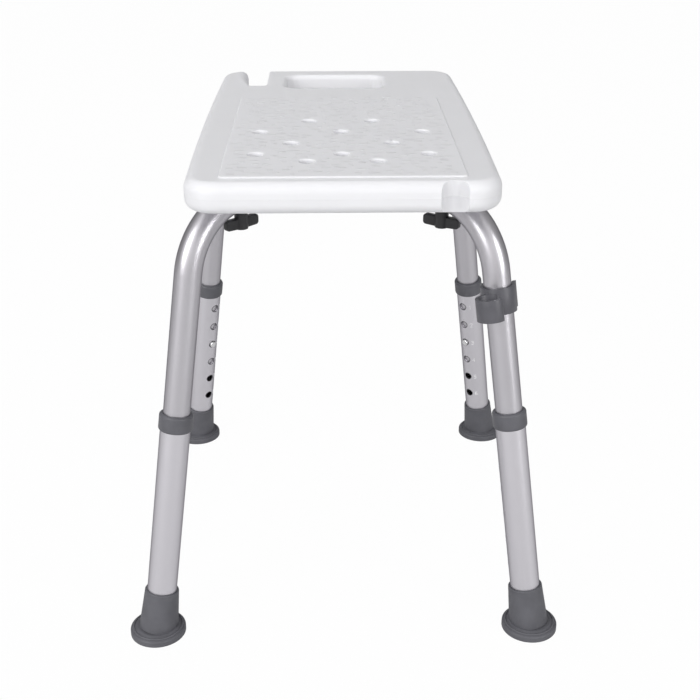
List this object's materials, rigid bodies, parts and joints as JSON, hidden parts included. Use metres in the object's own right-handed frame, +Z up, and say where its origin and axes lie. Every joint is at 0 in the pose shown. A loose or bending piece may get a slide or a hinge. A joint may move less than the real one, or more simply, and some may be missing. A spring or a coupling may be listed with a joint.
{
  "type": "shower stool",
  "caption": "Shower stool with a white blow-moulded seat, hand hole, crossed aluminium tubes, telescoping legs, rubber feet and a hand-shower clip.",
  "frame": {"origin": "on the floor, under the middle of the seat", "axes": "+Z up, +Y along the seat towards the hand hole (rear), +X across the seat to the right, seen from the front"},
  "size_m": [0.421, 0.46, 0.465],
  "materials": {
    "seat_plastic": "fine leather-like grain on the panel, smooth elsewhere",
    "insert_brass": "machined",
    "frame_aluminium": "satin anodised",
    "leg_aluminium": "satin anodised",
    "collar_plastic": "moulded",
    "foot_rubber": "moulded",
    "steel": "zinc plated",
    "button_chrome": "plated",
    "spring_steel": "blued",
    "knob_plastic": "moulded",
    "washer_black": "moulded",
    "clip_plastic": "moulded"
  },
  "bodies": {
    "frame": {"seat": "seat_plastic", "frame_tube_a": "frame_aluminium", "frame_tube_b": "frame_aluminium", "centre_bolt": "steel", "centre_washer": "steel", "centre_nut": "steel", "seat_insert_rear_right": "insert_brass", "seat_insert_rear_left": "insert_brass", "seat_insert_front_left": "insert_brass", "seat_insert_front_right": "insert_brass", "button_spring_rear_right": "spring_steel", "button_spring_rear_left": "spring_steel", "button_spring_front_left": "spring_steel", "button_spring_front_right": "spring_steel", "knob_washer_rear_right": "washer_black", "knob_washer_rear_left": "washer_black", "knob_washer_front_left": "washer_black", "knob_washer_front_right": "washer_black"},
    "leg_rear_right": {"leg_tube_rear_right": "leg_aluminium", "collar_rear_right": "collar_plastic", "foot_rear_right": "foot_rubber", "foot_washer_rear_right": "steel"},
    "button_rear_right": {"snap_button_rear_right": "button_chrome"},
    "knob_rear_right": {"wing_knob_rear_right": "knob_plastic", "knob_stud_rear_right": "steel"},
    "leg_rear_left": {"leg_tube_rear_left": "leg_aluminium", "collar_rear_left": "collar_plastic", "foot_rear_left": "foot_rubber", "foot_washer_rear_left": "steel"},
    "button_rear_left": {"snap_button_rear_left": "button_chrome"},
    "knob_rear_left": {"wing_knob_rear_left": "knob_plastic", "knob_stud_rear_left": "steel"},
    "leg_front_left": {"leg_tube_front_left": "leg_aluminium", "collar_front_left": "collar_plastic", "foot_front_left": "foot_rubber", "foot_washer_front_left": "steel"},
    "button_front_left": {"snap_button_front_left": "button_chrome"},
    "knob_front_left": {"wing_knob_front_left": "knob_plastic", "knob_stud_front_left": "steel"},
    "leg_front_right": {"leg_tube_front_right": "leg_aluminium", "collar_front_right": "collar_plastic", "foot_front_right": "foot_rubber", "foot_washer_front_right": "steel"},
    "button_front_right": {"snap_button_front_right": "button_chrome"},
    "knob_front_right": {"wing_knob_front_right": "knob_plastic", "knob_stud_front_right": "steel"},
    "clip": {"shower_clip": "clip_plastic"}
  },
  "joints": [
    {"name": "leg_slide_rear_right", "type": "slide", "parent": "frame", "child": "leg_rear_right", "axis": [0.1236, 0.1339, -0.9833], "range_m": [-0.0762, 0.0508], "deforming": ["snap_button_rear_right", "button_spring_rear_right"]},
    {"name": "button_press_rear_right", "type": "slide", "parent": "frame", "child": "button_rear_right", "axis": [0.6668, 0.7226, 0.1822], "range_m": [0, 0.005], "stiffness_N_per_m": 2000, "springref_m": -0.002, "deforming": ["button_spring_rear_right"]},
    {"name": "knob_turn_rear_right", "type": "hinge", "parent": "frame", "child": "knob_rear_right", "pos_m": [0.09291, 0.10068, 0.392], "axis": [0, 0, 1], "continuous": true},
    {"name": "leg_slide_rear_left", "type": "slide", "parent": "frame", "child": "leg_rear_left", "axis": [-0.1236, 0.1339, -0.9833], "range_m": [-0.0762, 0.0508], "deforming": ["snap_button_rear_left", "button_spring_rear_left"]},
    {"name": "button_press_rear_left", "type": "slide", "parent": "frame", "child": "button_rear_left", "axis": [-0.6668, 0.7226, 0.1822], "range_m": [0, 0.005], "stiffness_N_per_m": 2000, "springref_m": -0.002, "deforming": ["button_spring_rear_left"]},
    {"name": "knob_turn_rear_left", "type": "hinge", "parent": "frame", "child": "knob_rear_left", "pos_m": [-0.09291, 0.10068, 0.392], "axis": [0, 0, 1], "continuous": true},
    {"name": "leg_slide_front_left", "type": "slide", "parent": "frame", "child": "leg_front_left", "axis": [-0.1236, -0.1339, -0.9833], "range_m": [-0.0762, 0.0508], "deforming": ["snap_button_front_left", "button_spring_front_left"]},
    {"name": "button_press_front_left", "type": "slide", "parent": "frame", "child": "button_front_left", "axis": [-0.6668, -0.7226, 0.1822], "range_m": [0, 0.005], "stiffness_N_per_m": 2000, "springref_m": -0.002, "deforming": ["button_spring_front_left"]},
    {"name": "knob_turn_front_left", "type": "hinge", "parent": "frame", "child": "knob_front_left", "pos_m": [-0.09291, -0.10068, 0.392], "axis": [0, 0, 1], "continuous": true},
    {"name": "leg_slide_front_right", "type": "slide", "parent": "frame", "child": "leg_front_right", "axis": [0.1236, -0.1339, -0.9833], "range_m": [-0.0762, 0.0508], "deforming": ["snap_button_front_right", "button_spring_front_right"]},
    {"name": "button_press_front_right", "type": "slide", "parent": "frame", "child": "button_front_right", "axis": [0.6668, -0.7226, 0.1822], "range_m": [0, 0.005], "stiffness_N_per_m": 2000, "springref_m": -0.002, "deforming": ["button_spring_front_right"]},
    {"name": "knob_turn_front_right", "type": "hinge", "parent": "frame", "child": "knob_front_right", "pos_m": [0.09291, -0.10068, 0.392], "axis": [0, 0, 1], "continuous": true},
    {"name": "clip_swivel", "type": "hinge", "parent": "frame", "child": "clip", "pos_m": [0.14165, -0.1535, 0.33308], "axis": [-0.1236, 0.1339, 0.9833], "continuous": true}
  ]
}
